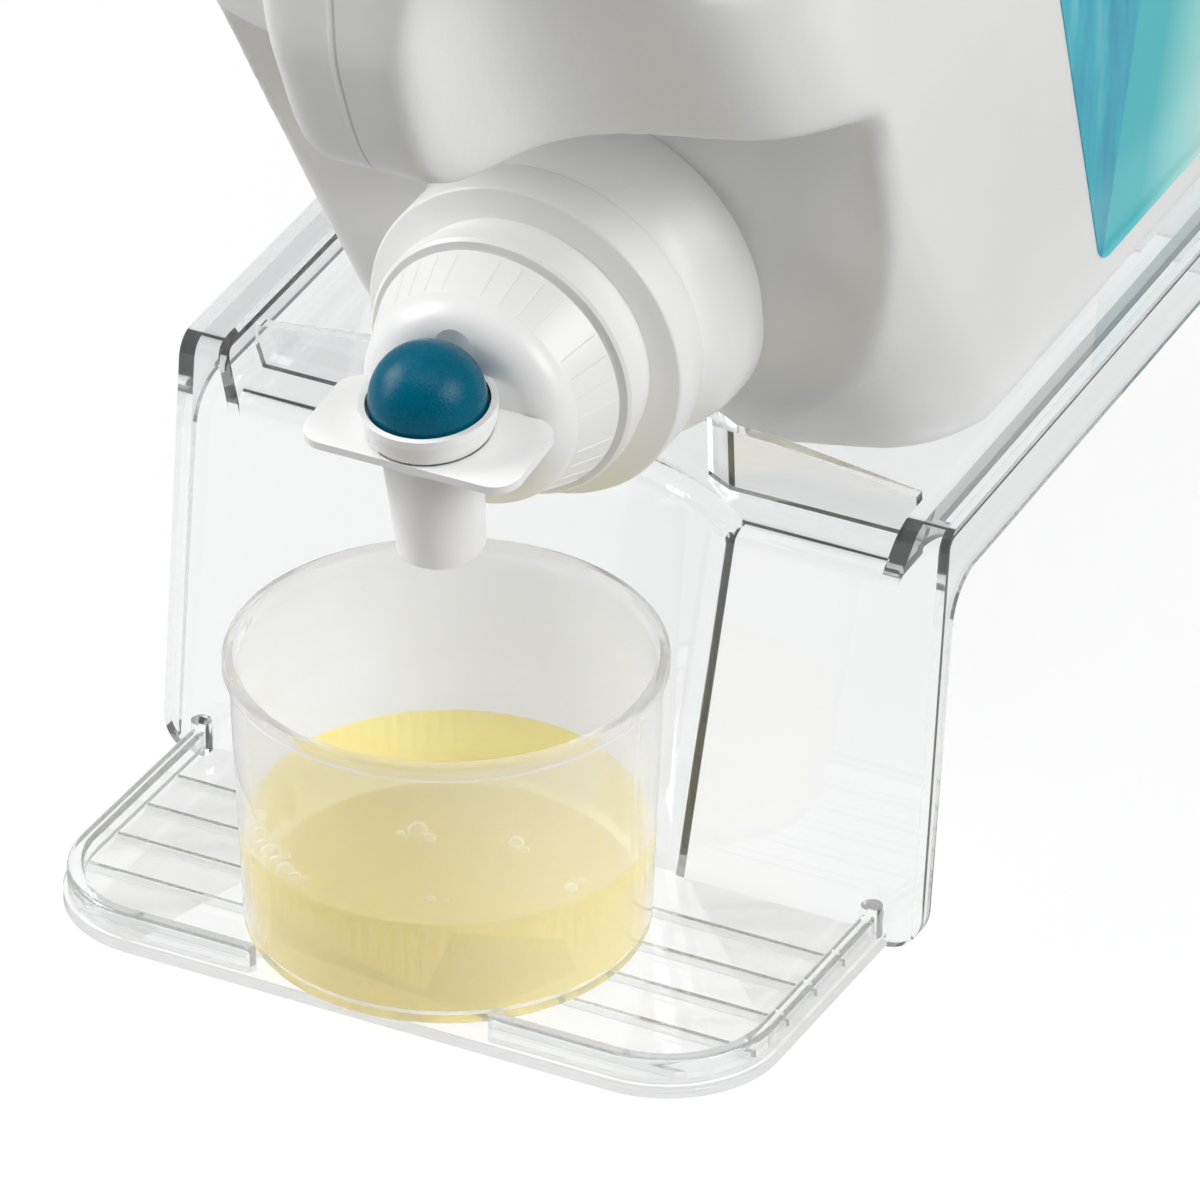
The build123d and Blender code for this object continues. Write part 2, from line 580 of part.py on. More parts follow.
def tap_body():
    """Closure, boss, button collar, wings and barrel as the one moulding they are."""
    barrel = turned_z([
        (0, 0), (CUP_COLLAR_RADIUS, 0), (CUP_COLLAR_RADIUS, -1.6), (CUP_COLLAR_RADIUS - 0.5, -4.0),
        (CUP_COLLAR_RADIUS - 1.6, -6.6), (BARREL_TOP_RADIUS + 0.5, -CUP_COLLAR_DEPTH + 1.0),
        (BARREL_TOP_RADIUS, -CUP_COLLAR_DEPTH), (BARREL_TIP_RADIUS, BARREL_TIP_ROUND - BARREL_LENGTH),
        (BARREL_TIP_RADIUS - BARREL_TIP_ROUND, -BARREL_LENGTH), (0, -BARREL_LENGTH),
    ])
    guide = -WELL_DEPTH - GUIDE_WALL
    spout = -SEAT_DEPTH - SEAT_WALL
    bores = [
        rod(WELL_BORE, -WELL_DEPTH, WELL_REACH),
        rod(STEM_RADIUS + STEM_CLEARANCE, guide - 1, 0),
        rod(STEM_SEAL_RADIUS, guide - 1, guide + STEM_SEAL_HEIGHT),
        rod(CHAMBER_BORE, -SEAT_DEPTH, guide),
        rod(SEAT_BORE, spout - 1, guide),
        rod(SPOUT_BORE, -BARREL_LENGTH - 1, spout),
    ]
    inlet_front = TAP_SETBACK - JUG_NECK_START
    inlet_rear = CLOSURE_FRONT + CLOSURE_CROWN + 1
    inlet = Pos(0, (inlet_front + inlet_rear) / 2, -INLET_DROP) * Rot(90, 0, 0) * Cylinder(
        INLET_RADIUS, inlet_rear - inlet_front)
    shape = JUG * closure() + TAP * barrel + TAP * wing_plate()
    cavity = JUG * Pos(0, CLOSURE_FRONT + CLOSURE_CROWN + 1, 0) * Rot(90, 0, 0) * Cylinder(NECK_BORE, 2)
    return shape - [TAP * bore for bore in bores] - JUG * inlet - cavity


def press_button():
    """Domed button: a thin shell with a socket for the valve stem."""
    dome = Pos(0, 0, BUTTON_CENTRE) * Sphere(BUTTON_RADIUS)
    dome = dome & rod(BUTTON_RADIUS, BUTTON_CENTRE, BUTTON_CENTRE + BUTTON_RADIUS)
    body = dome + rod(BUTTON_RADIUS, -BUTTON_SKIRT, BUTTON_CENTRE)
    inner = BUTTON_RADIUS - BUTTON_WALL
    hollow = (Pos(0, 0, BUTTON_CENTRE) * Sphere(inner)) & rod(inner, BUTTON_CENTRE, BUTTON_CENTRE + inner)
    hollow = hollow + rod(inner, -BUTTON_SKIRT, BUTTON_CENTRE)
    floor = SHELF_HEIGHT + SHELF_THICKNESS
    socket = rod(SOCKET_RADIUS, floor, BUTTON_CENTRE + inner)
    bore = rod(STEM_RADIUS + PRESS_CLEARANCE, floor, floor + SOCKET_DEPTH)
    return TAP * (body - hollow + socket - bore)


def valve_stem():
    """Stem with the spring's shelf above, the valve head below and the drip tip at the end."""
    top = SHELF_HEIGHT + SHELF_THICKNESS + SOCKET_DEPTH
    head = -SEAT_DEPTH - SEAT_WALL - SEAT_CLEARANCE - SEAL_THICKNESS
    tip = DRIP_TIP_SHORT - BARREL_LENGTH
    return TAP * turned_z([
        (0, top), (STEM_RADIUS, top), (STEM_RADIUS, SHELF_HEIGHT + SHELF_THICKNESS),
        (SHELF_RADIUS, SHELF_HEIGHT + SHELF_THICKNESS), (SHELF_RADIUS, SHELF_HEIGHT),
        (STEM_RADIUS, SHELF_HEIGHT), (STEM_RADIUS, head), (POPPET_RADIUS, head),
        (POPPET_RADIUS, head - POPPET_THICKNESS), (DRIP_TIP_RADIUS, head - 2 * POPPET_THICKNESS),
        (DRIP_TIP_RADIUS, tip), (0, tip),
    ])


def valve_seal():
    """Soft washer on the valve head, closed against the seat."""
    top = -SEAT_DEPTH - SEAT_WALL - SEAT_CLEARANCE
    ring = rod(SEAL_RADIUS, top - SEAL_THICKNESS, top) - rod(
        STEM_RADIUS + PRESS_CLEARANCE, top - SEAL_THICKNESS, top)
    return TAP * ring


def stem_seal():
    """Soft ring round the stem, pressed into the underside of the guide wall."""
    low = -WELL_DEPTH - GUIDE_WALL
    ring = rod(STEM_SEAL_RADIUS - PRESS_CLEARANCE, low, low + STEM_SEAL_HEIGHT) - rod(
        STEM_RADIUS + STEM_CLEARANCE, low, low + STEM_SEAL_HEIGHT)
    return TAP * ring


def return_spring():
    """Open wire spring with ground ends, standing between the guide wall and the stem's shelf."""
    length = SHELF_HEIGHT + WELL_DEPTH
    rise = length - SPRING_WIRE + 2 * SPRING_FLAT
    path = Helix(pitch=rise / SPRING_TURNS, height=rise, radius=SPRING_RADIUS)
    section = Plane(origin=path @ 0, z_dir=path % 0) * RegularPolygon(SPRING_WIRE / 2, SPRING_SIDES)
    wire = sweep(section, path=path)
    wire = Pos(0, 0, SPRING_WIRE / 2 - SPRING_FLAT - WELL_DEPTH) * wire
    return TAP * (wire & rod(2 * SPRING_RADIUS, -WELL_DEPTH, SHELF_HEIGHT))


def cap_gasket():
    """Flat sealing ring between the closure's crown and the end of the neck."""
    ring = Cylinder(NECK_RADIUS, GASKET_THICKNESS) - Cylinder(NECK_BORE, GASKET_THICKNESS)
    return JUG * Pos(0, -NECK_REACH - GASKET_THICKNESS / 2, 0) * Rot(90, 0, 0) * ring


def cup_radius(height):
    """Inner radius of the cup at a height above its foot."""
    base = CUP_BASE_RADIUS - CUP_WALL
    return base + (CUP_MOUTH_RADIUS - CUP_BASE_RADIUS) * height / CUP_HEIGHT


def measuring_cup():
    """Tapered cup with a rounded foot and a rolled lip, standing on the drip ribs."""
    round_in = CUP_BASE_ROUND - CUP_WALL
    lip_low = CUP_HEIGHT - CUP_LIP_DEPTH
    side = Polyline(
        (0, CUP_FLOOR), (0, 0), (CUP_BASE_RADIUS - CUP_BASE_ROUND, 0))
    foot = RadiusArc(
        (CUP_BASE_RADIUS - CUP_BASE_ROUND, 0), (CUP_BASE_RADIUS, CUP_BASE_ROUND), -CUP_BASE_ROUND)
    wall = Polyline(
        (CUP_BASE_RADIUS, CUP_BASE_ROUND), (CUP_MOUTH_RADIUS, lip_low - 0.8),
        (CUP_RIM_RADIUS - 0.3, lip_low), (CUP_RIM_RADIUS, lip_low + 0.7), (CUP_RIM_RADIUS, CUP_HEIGHT - 0.8),
        (CUP_RIM_RADIUS - 0.3, CUP_HEIGHT - 0.2), (CUP_RIM_RADIUS - 0.9, CUP_HEIGHT),
        (cup_radius(CUP_HEIGHT) + 0.5, CUP_HEIGHT), (cup_radius(CUP_HEIGHT), CUP_HEIGHT - 0.6),
        (cup_radius(CUP_FLOOR), CUP_FLOOR + round_in),
        (cup_radius(CUP_FLOOR) - round_in, CUP_FLOOR), (0, CUP_FLOOR))
    return Pos(0, 0, RIB_TOP) * revolve(Plane.XZ * make_face([side, foot, wall]), axis=Axis.Z)


def detergent():
    """The poured detergent, filling the cup's lower part."""
    round_in = CUP_BASE_ROUND - CUP_WALL
    foot = cup_radius(CUP_FLOOR) - LIQUID_CLEARANCE
    return Pos(0, 0, RIB_TOP) * turned_z([
        (0, CUP_FLOOR), (foot - round_in, CUP_FLOOR), (foot, CUP_FLOOR + round_in),
        (cup_radius(FILL_HEIGHT) - LIQUID_CLEARANCE, FILL_HEIGHT), (0, FILL_HEIGHT),
    ])


def detergent_drop():
    """The drop hanging from the valve's drip tip."""
    drop = scale(Sphere(DROP_RADIUS), by=(1, 1, DROP_LENGTH / DROP_RADIUS))
    drop = drop & rod(2 * DROP_RADIUS, -2 * DROP_RADIUS, 0)
    return TAP * Pos(0, 0, DRIP_TIP_SHORT - BARREL_LENGTH) * drop


def main():
    """Builds each piece and writes it to parts/ under its node's name."""
    os.makedirs("parts", exist_ok=True)
    pieces = {
        "stand": stand(),
        "jug": jug(),
        "side_label": side_label(),
        "tap_body": tap_body(),
        "press_button": press_button(),
        "valve_stem": valve_stem(),
        "valve_seal": valve_seal(),
        "stem_seal": stem_seal(),
        "return_spring": return_spring(),
        "cap_gasket": cap_gasket(),
        "measuring_cup": measuring_cup(),
        "detergent": detergent(),
        "detergent_drop": detergent_drop(),
    }
    whole = Compound(children=[Part() + piece for piece in pieces.values()]).bounding_box()
    centred = Pos(0, -(whole.min.Y + whole.max.Y) / 2, 0)
    for name, piece in pieces.items():
        export_step(centred * piece, f"parts/{name}.step")


main()
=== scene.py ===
"""Laundry detergent dispenser: a clear cradle, a jug with a press tap, and a measuring cup.

Metres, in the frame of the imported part. The tap and the tray face -Y.
"""
from math import cos, pi, radians, sin

import bmesh
import bpy
from mathutils import Matrix, Vector

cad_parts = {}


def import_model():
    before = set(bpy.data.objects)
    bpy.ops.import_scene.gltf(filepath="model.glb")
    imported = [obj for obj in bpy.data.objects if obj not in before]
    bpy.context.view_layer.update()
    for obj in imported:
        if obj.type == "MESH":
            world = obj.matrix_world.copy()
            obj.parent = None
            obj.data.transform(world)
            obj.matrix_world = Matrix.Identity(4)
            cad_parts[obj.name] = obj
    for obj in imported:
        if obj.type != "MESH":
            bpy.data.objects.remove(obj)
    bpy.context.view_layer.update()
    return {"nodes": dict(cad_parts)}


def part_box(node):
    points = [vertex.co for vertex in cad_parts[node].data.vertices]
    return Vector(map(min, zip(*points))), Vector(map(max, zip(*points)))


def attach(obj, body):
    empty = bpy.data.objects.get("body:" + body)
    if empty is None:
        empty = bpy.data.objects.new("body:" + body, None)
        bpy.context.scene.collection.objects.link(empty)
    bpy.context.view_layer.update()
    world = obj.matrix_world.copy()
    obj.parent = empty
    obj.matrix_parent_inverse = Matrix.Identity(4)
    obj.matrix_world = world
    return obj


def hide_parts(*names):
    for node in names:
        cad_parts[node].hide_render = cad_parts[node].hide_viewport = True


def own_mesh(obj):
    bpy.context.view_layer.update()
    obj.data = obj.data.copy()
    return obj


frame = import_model()
nodes = frame["nodes"]
bpy.context.view_layer.update()

MM = 0.001

# The cup's middle, which the neck, the tap and the camera are placed from, and the neck's tilt
CUP_Y = ((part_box("measuring_cup")[0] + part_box("measuring_cup")[1]) / 2).y
PITCH = radians(3.5)
NECK_DATUM = Vector((0, CUP_Y + 0.025, 0.1082))

# The angle above which the spring wire's edges stay sharp
WIRE_CREASE = radians(50)

# Grip lines round the screw closure's cone, along the neck from front to rear
GRIP_PLACES = 35
GRIP_GROUP = 5
GRIP_FRONT = -0.0142
GRIP_REAR = -0.0056
GRIP_RUN_OUT = 0.0004
GRIP_FRONT_R = 0.02111
GRIP_SLOPE = 3.4 / 9.2
GRIP_HALF = 0.00022
GRIP_PROUD = 0.00014
GRIP_SUNK = 0.0001

# The jug's skin, and the hole in it that the neck fills
WELD_REACH = 0.00001
SKIN_CUT_R = 0.0345
SKIN_CUT_FRONT = -0.03
SKIN_CUT_END = 0.032
SKIN_VOXEL = 0.0018
SKIN_SOFTENING = 6
NECK_SEGMENTS = 144
NECK_CREASE = radians(40)
CUTTER_SEGMENTS = 96

# The shoulder pressed back under the brow: how far it reaches and how it leans, in the neck's axes
BROW_LOW = 0.052
BROW_FULL = 0.061
PRESS_TOP = 0.062
PRESS_REACH = 0.06
PRESS_SIDE = 0.0649
SHOULDER_PLACE = 0.0315
SHOULDER_LEAN_RIGHT = 0.20
SHOULDER_LEAN_LEFT = 0.56
SHOULDER_FLAT = 0.040
SHOULDER_LEANING = 0.062
CORNER_START = 0.061
CORNER_BEND = 200

# The mould's parting line: half its width, where it has faded, and the heights it rises between
SEAM_HALF = 0.0002
SEAM_FADE = 0.0009
SEAM_LOW = 0.152
SEAM_FULL = 0.158

# The label's print: the slant of its fields, the line between them and the fade behind it
LABEL_SLANT = -0.30
LABEL_LINE = (-0.0165, -0.0160)
LABEL_FADE = (-0.002, 0.045)

BUBBLE_FLATNESS = 0.75

# The floor: its own grey, and the thin grey with a glow that the camera sees
FLOOR_HALF = 6.0
FLOOR_GREY = 0.38
FLOOR_THIN = 0.15
FLOOR_GLOW = 0.82

# The room's light in front of the object and behind it, and what clear parts let through of it
ROOM_FRONT = 0.03
ROOM_BACK = 0.40
ROOM_SPAN = 0.7
ROOM_THROUGH = 0.13

# The camera fitted to the photograph
LENS = 363.46
SENSOR = 36.0
VIEW_RIGHT = Vector((0.88710, 0.46158, 0))
VIEW_BACK = Vector((0.39586, -0.76077, 0.51437))
VIEW_PLACE = Vector((0.8756, CUP_Y - 1.6235, 1.1772))


# Materials
def tree_of(name):
    """A new material with an empty node tree; returns it with a node maker and a linker."""
    mat = bpy.data.materials.new(name)
    mat.use_nodes = True
    tree = mat.node_tree
    tree.nodes.clear()
    out = tree.nodes.new("ShaderNodeOutputMaterial")

    def add(kind, **values):
        node = tree.nodes.new(kind)
        for key, value in values.items():
            if key in node.inputs:
                node.inputs[key].default_value = value
            else:
                setattr(node, key, value)
        return node

    return mat, out, add, tree.links.new


def principled(add, color, rough, **values):
    """A Principled shader with its constants on its own sockets."""
    shader = add("ShaderNodeBsdfPrincipled")
    shader.inputs["Base Color"].default_value = (*color, 1)
    shader.inputs["Roughness"].default_value = rough
    for key, value in values.items():
        shader.inputs[key.replace("_", " ")].default_value = value
    return shader


def place_nodes(add, link, scale):
    """Object coordinates through a mapping with one scale."""
    coords = add("ShaderNodeTexCoord")
    mapping = add("ShaderNodeMapping")
    mapping.inputs["Scale"].default_value = (scale, scale, scale)
    link(coords.outputs["Object"], mapping.inputs["Vector"])
    return mapping.outputs["Vector"]


def noise_at(add, link, scale, detail):
    """Noise in object coordinates, at one scale."""
    noise = add("ShaderNodeTexNoise", Scale=1.0, Detail=detail)
    link(place_nodes(add, link, scale), noise.inputs["Vector"])
    return noise


def grain_bump(add, link, shader, scale, strength, distance, detail=3.0):
    """Fine grain as a bump on the shader's normal; returns its noise."""
    noise = noise_at(add, link, scale, detail)
    bump = add("ShaderNodeBump", Strength=strength, Distance=distance)
    link(noise.outputs["Fac"], bump.inputs["Height"])
    link(bump.outputs["Normal"], shader.inputs["Normal"])
    return noise


def ranged(add, link, source, low, high, start=0.0, end=1.0):
    """A value mapped from the range start to end onto the range low to high."""
    node = add("ShaderNodeMapRange")
    node.inputs["From Min"].default_value = start
    node.inputs["From Max"].default_value = end
    node.inputs["To Min"].default_value = low
    node.inputs["To Max"].default_value = high
    link(source, node.inputs["Value"])
    return node


def blended(add, link, first, second, share):
    """Two shaders mixed by a constant or by a node's output."""
    mix = add("ShaderNodeMixShader")
    if isinstance(share, float):
        mix.inputs[0].default_value = share
    else:
        link(share, mix.inputs[0])
    link(first.outputs[0], mix.inputs[1])
    link(second.outputs[0], mix.inputs[2])
    return mix


def object_axes(add, link):
    """Object coordinates, whole and split into X, Y and Z."""
    coords = add("ShaderNodeTexCoord")
    split = add("ShaderNodeSeparateXYZ")
    link(coords.outputs["Object"], split.inputs[0])
    return coords, split


def ramp(add, stops):
    """A colour ramp from (position, colour) pairs."""
    node = add("ShaderNodeValToRGB")
    elements = node.color_ramp.elements
    elements[0].position, elements[0].color = stops[0][0], (*stops[0][1], 1)
    elements[1].position, elements[1].color = stops[-1][0], (*stops[-1][1], 1)
    for position, color in stops[1:-1]:
        element = elements.new(position)
        element.color = (*color, 1)
    return node


def lit_through(add, link, out, shader, tint):
    """Sends the shader to the output, with light passing straight through in its shadow."""
    path = add("ShaderNodeLightPath")
    passing = add("ShaderNodeBsdfTransparent")
    passing.inputs["Color"].default_value = (*tint, 1)
    mix = blended(add, link, shader, passing, path.outputs["Is Shadow Ray"])
    link(mix.outputs[0], out.inputs["Surface"])


def milky(add, link, body, glow_color, glow_share):
    """A body shader with some light of its own colour coming through."""
    glow = add("ShaderNodeBsdfTranslucent")
    glow.inputs["Color"].default_value = (*glow_color, 1)
    return blended(add, link, body, glow, glow_share)


def clear_plastic():
    """Clear styrene with faint flow marks, and painted shade: its colour turns darker where a rounded
    edge is seen along its skin.
    """
    mat, out, add, link = tree_of("clear_plastic")
    clear = (0.935, 0.943, 0.946)
    shader = principled(add, clear, 0.012, Transmission_Weight=1.0, IOR=1.56)
    noise = noise_at(add, link, 60, 1.0)
    # Painted shade: the base colour goes dark grey where the skin is seen edge-on, standing in for the
    # dark room seen in the rounded edges.
    facing = add("ShaderNodeLayerWeight", Blend=0.5)
    edge = ramp(add, [(0.76, clear), (0.95, (0.28, 0.29, 0.295))])
    link(facing.outputs["Facing"], edge.inputs["Fac"])
    link(edge.outputs["Color"], shader.inputs["Base Color"])
    rough = ranged(add, link, noise.outputs["Fac"], 0.004, 0.03)
    link(rough.outputs["Result"], shader.inputs["Roughness"])
    straight = add("ShaderNodeBsdfTransparent")
    straight.inputs["Color"].default_value = (0.95, 0.955, 0.955, 1)
    body = blended(add, link, shader, straight, 0.04)
    lit_through(add, link, out, body, (0.93, 0.935, 0.935))
    return mat


def frosted_cup():
    """Milky translucent cup wall with slow clouds."""
    mat, out, add, link = tree_of("frosted_cup")
    clear = principled(add, (0.95, 0.95, 0.95), 0.10, Transmission_Weight=1.0, IOR=1.18)
    milk = principled(add, (0.70, 0.705, 0.705), 0.4, IOR=1.45)
    half = milky(add, link, milk, (0.80, 0.805, 0.805), 0.4)
    cloud = noise_at(add, link, 35, 1.0)
    share = ranged(add, link, cloud.outputs["Fac"], 0.23, 0.30)
    body = blended(add, link, clear, half, share.outputs["Result"])
    lit_through(add, link, out, body, (0.93, 0.93, 0.93))
    return mat


def detergent_material():
    """Yellow liquid: clear enough to see its floor through it, with a glow of its own colour."""
    mat, out, add, link = tree_of("detergent_yellow")
    clear = principled(add, (0.995, 0.945, 0.60), 0.0, Transmission_Weight=1.0, IOR=1.15)
    body = principled(add, (0.95, 0.79, 0.23), 0.15)
    half = milky(add, link, body, (0.97, 0.83, 0.28), 0.5)
    cloud = noise_at(add, link, 40, 1.0)
    share = ranged(add, link, cloud.outputs["Fac"], 0.20, 0.28)
    mix = blended(add, link, clear, half, share.outputs["Result"])
    lit_through(add, link, out, mix, (0.99, 0.96, 0.76))
    return mat


def foam():
    """Thin bubble film: clear in the middle, with a painted sheen towards its outline, where a pale film
    is mixed in.
    """
    mat, out, add, link = tree_of("foam")
    clear = principled(add, (0.98, 0.98, 0.94), 0.0, Transmission_Weight=1.0, IOR=1.25)
    film = principled(add, (0.86, 0.85, 0.76), 0.12, IOR=1.35)
    # Painted sheen: a pale film mixed in where the bubble is seen edge-on.
    facing = add("ShaderNodeLayerWeight", Blend=0.5)
    share = ranged(add, link, facing.outputs["Facing"], 0.10, 0.75, start=0.25, end=0.85)
    mix = blended(add, link, clear, film, share.outputs["Result"])
    grain_bump(add, link, film, 1500, 0.05, 0.0001)
    lit_through(add, link, out, mix, (0.94, 0.94, 0.90))
    return mat


def clear_liquid():
    """Clear liquid of the hanging drop."""
    mat, out, add, link = tree_of("detergent_clear")
    shader = principled(add, (0.99, 0.99, 0.96), 0.0, Transmission_Weight=1.0, IOR=1.37)
    grain_bump(add, link, shader, 200, 0.02, 0.0001)
    lit_through(add, link, out, shader, (0.95, 0.95, 0.92))
    return mat


def parting_line(add, link):
    """1 along the middle of the jug above the neck, 0 elsewhere."""
    _, split = object_axes(add, link)
    side = add("ShaderNodeMath", operation="ABSOLUTE")
    link(split.outputs["X"], side.inputs[0])
    seam = ranged(add, link, side.outputs[0], 1.0, 0.0, start=SEAM_HALF, end=SEAM_FADE)
    seam.interpolation_type = "SMOOTHSTEP"
    above = ranged(add, link, split.outputs["Z"], 0.0, 1.0, start=SEAM_LOW, end=SEAM_FULL)
    line = add("ShaderNodeMath", operation="MULTIPLY")
    link(seam.outputs["Result"], line.inputs[0])
    link(above.outputs["Result"], line.inputs[1])
    return line


def bottle_white(name, low, high):
    """Blown polyethylene: fine pebble, slow waviness and the mould's parting line."""
    mat, out, add, link = tree_of(name)
    shader = principled(add, (0.80, 0.80, 0.795), 0.38, IOR=1.5)
    pebble = noise_at(add, link, 650, 1.0)
    cloud = noise_at(add, link, 26, 1.0)
    bump = add("ShaderNodeBump", Strength=0.14, Distance=0.0003)
    link(pebble.outputs["Fac"], bump.inputs["Height"])
    wave = add("ShaderNodeBump", Strength=0.05, Distance=0.002)
    link(cloud.outputs["Fac"], wave.inputs["Height"])
    link(bump.outputs["Normal"], wave.inputs["Normal"])
    ridge = add("ShaderNodeBump", Strength=0.7, Distance=0.0006)
    link(parting_line(add, link).outputs[0], ridge.inputs["Height"])
    link(wave.outputs["Normal"], ridge.inputs["Normal"])
    link(ridge.outputs["Normal"], shader.inputs["Normal"])
    tint = ramp(add, [(0.35, (low, low, low - 0.01)), (0.65, (high, high, high - 0.01))])
    link(cloud.outputs["Fac"], tint.inputs["Fac"])
    link(tint.outputs["Color"], shader.inputs["Base Color"])
    link(shader.outputs[0], out.inputs["Surface"])
    return mat


def tap_white():
    """Moulded white plastic with a fine satin grain."""
    mat, out, add, link = tree_of("tap_white")
    shader = principled(add, (0.87, 0.87, 0.865), 0.32, IOR=1.49)
    noise = grain_bump(add, link, shader, 500, 0.05, 0.0001, detail=1.0)
    rough = ranged(add, link, noise.outputs["Fac"], 0.28, 0.38)
    link(rough.outputs["Result"], shader.inputs["Roughness"])
    link(shader.outputs[0], out.inputs["Surface"])
    return mat


def button_blue():
    """Petrol blue, with a fine spark-eroded grain."""
    mat, out, add, link = tree_of("button_blue")
    shader = principled(add, (0.0, 0.12, 0.19), 0.26, IOR=1.5, Specular_IOR_Level=0.14)
    noise = grain_bump(add, link, shader, 2400, 0.5, 0.00015, detail=2.0)
    tint = ramp(add, [(0.3, (0.0, 0.085, 0.145)), (0.7, (0.0, 0.125, 0.210))])
    link(noise.outputs["Fac"], tint.inputs["Fac"])
    link(tint.outputs["Color"], shader.inputs["Base Color"])
    link(shader.outputs[0], out.inputs["Surface"])
    return mat


def seal_rubber():
    """Pale elastomer with a fine grain."""
    mat, out, add, link = tree_of("seal_rubber")
    shader = principled(add, (0.52, 0.52, 0.50), 0.6)
    grain_bump(add, link, shader, 1500, 0.2, 0.0001)
    link(shader.outputs[0], out.inputs["Surface"])
    return mat


def spring_steel():
    """Drawn stainless wire."""
    mat, out, add, link = tree_of("spring_steel")
    shader = principled(add, (0.62, 0.63, 0.65), 0.25, Metallic=1.0)
    grain_bump(add, link, shader, 3000, 0.1, 0.00005)
    link(shader.outputs[0], out.inputs["Surface"])
    return mat


def label_film():
    """Printed film: two fields parted by a slanting line, teal streaks in front, pale behind."""
    mat, out, add, link = tree_of("label_film")
    shader = principled(add, (0.2, 0.6, 0.7), 0.22, Coat_Weight=0.4, Coat_Roughness=0.12)
    coords, split = object_axes(add, link)
    front = add("ShaderNodeMath", operation="MULTIPLY_ADD")
    link(split.outputs["Z"], front.inputs[0])
    front.inputs[1].default_value = LABEL_SLANT
    link(split.outputs["Y"], front.inputs[2])
    streaks = add("ShaderNodeTexNoise", Scale=1.0, Detail=4.0, Roughness=0.6)
    stretch = add("ShaderNodeMapping")
    stretch.inputs["Rotation"].default_value = (0.42, 0, 0)
    stretch.inputs["Scale"].default_value = (1, 95, 16)
    link(coords.outputs["Object"], stretch.inputs["Vector"])
    link(stretch.outputs["Vector"], streaks.inputs["Vector"])
    teal = ramp(add, [
        (0.30, (0.0, 0.27, 0.45)), (0.52, (0.01, 0.45, 0.57)), (0.80, (0.24, 0.68, 0.77))])
    link(streaks.outputs["Fac"], teal.inputs["Fac"])
    pale = ramp(add, [
        (0.0, (0.04, 0.52, 0.58)), (0.3, (0.25, 0.72, 0.70)), (1.0, (0.78, 0.90, 0.88))])
    fade = ranged(add, link, front.outputs[0], 0.0, 1.0, *LABEL_FADE)
    link(fade.outputs["Result"], pale.inputs["Fac"])
    line = ranged(add, link, front.outputs[0], 0.0, 1.0, *LABEL_LINE)
    mix = add("ShaderNodeMix", data_type="RGBA")
    link(line.outputs["Result"], mix.inputs["Factor"])
    link(teal.outputs["Color"], mix.inputs[6])
    link(pale.outputs["Color"], mix.inputs[7])
    link(mix.outputs[2], shader.inputs["Base Color"])
    link(shader.outputs[0], out.inputs["Surface"])
    return mat


MATERIALS = {
    "stand": clear_plastic(),
    "measuring_cup": frosted_cup(),
    "detergent": detergent_material(),
    "detergent_drop": clear_liquid(),
    "jug": bottle_white("bottle_white", 0.785, 0.815),
    "tap_body": tap_white(),
    "press_button": button_blue(),
    "valve_seal": seal_rubber(),
    "return_spring": spring_steel(),
    "side_label": label_film(),
}
MATERIALS["stem_seal"] = MATERIALS["cap_gasket"] = MATERIALS["valve_seal"]
MATERIALS["valve_stem"] = MATERIALS["tap_body"]
# Painted light: the neck is the same blown plastic as the body, given a lighter copy of the bottle's
# material to brighten its rings.
NECK_PAINTED_LIGHT = bottle_white("neck_painted_light", 0.885, 0.90)
for name, obj in nodes.items():
    obj.data.materials.clear()
    obj.data.materials.append(MATERIALS[name])


# Pieces made here
def new_object(name, mesh, material):
    """A piece on the dispenser's body, with the material given to it."""
    obj = bpy.data.objects.new(name, mesh)
    bpy.context.scene.collection.objects.link(obj)
    obj.data.materials.clear()
    obj.data.materials.append(material)
    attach(obj, "dispenser")
    return obj


def mesh_of(form, name, smooth=True):
    """The finished mesh of a bmesh form."""
    mesh = bpy.data.meshes.new(name)
    form.to_mesh(mesh)
    form.free()
    if smooth:
        smooth_faces(mesh)
    return mesh


def smooth_faces(mesh):
    """Smooth shading on every face."""
    for face in mesh.polygons:
        face.use_smooth = True


def baked(obj):
    """The object's mesh with its modifiers worked in."""
    graph = bpy.context.evaluated_depsgraph_get()
    return bpy.data.meshes.new_from_object(obj.evaluated_get(graph))


def neck_frame():
    """The neck's axes: along the neck towards the jug, and up across it."""
    return Matrix.Translation(NECK_DATUM) @ Matrix.Rotation(PITCH, 4, "X")


def turned(profile, segments):
    """A closed surface turned about the neck's Y axis from (distance along the neck, radius) pairs."""
    mesh = bmesh.new()
    rings = []
    for along, radius in profile:
        if radius == 0:
            rings.append([mesh.verts.new((0, along, 0))])
            continue
        turns = [2 * pi * i / segments for i in range(segments)]
        rings.append([mesh.verts.new((radius * sin(turn), along, radius * cos(turn))) for turn in turns])
    for low, high in zip(rings, rings[1:]):
        for i in range(segments):
            j = (i + 1) % segments
            if len(low) == 1:
                mesh.faces.new((low[0], high[j], high[i]))
            elif len(high) == 1:
                mesh.faces.new((low[i], low[j], high[0]))
            else:
                mesh.faces.new((low[i], low[j], high[j], high[i]))
    bmesh.ops.recalc_face_normals(mesh, faces=mesh.faces)
    return mesh


def remeshed(obj, size, smooth=0):
    """Voxel-remeshes the object's mesh, with some smoothing rounds after it."""
    grid = obj.modifiers.new("grid", "REMESH")
    grid.mode = "VOXEL"
    grid.voxel_size = size
    grid.use_smooth_shade = True
    if smooth:
        soft = obj.modifiers.new("soft", "SMOOTH")
        soft.factor = 0.5
        soft.iterations = smooth
    obj.data = baked(obj)
    obj.modifiers.clear()


def ease(value, low, high):
    """Smooth step from 0 at low to 1 at high."""
    t = min(max((value - low) / (high - low), 0), 1)
    return t * t * (3 - 2 * t)


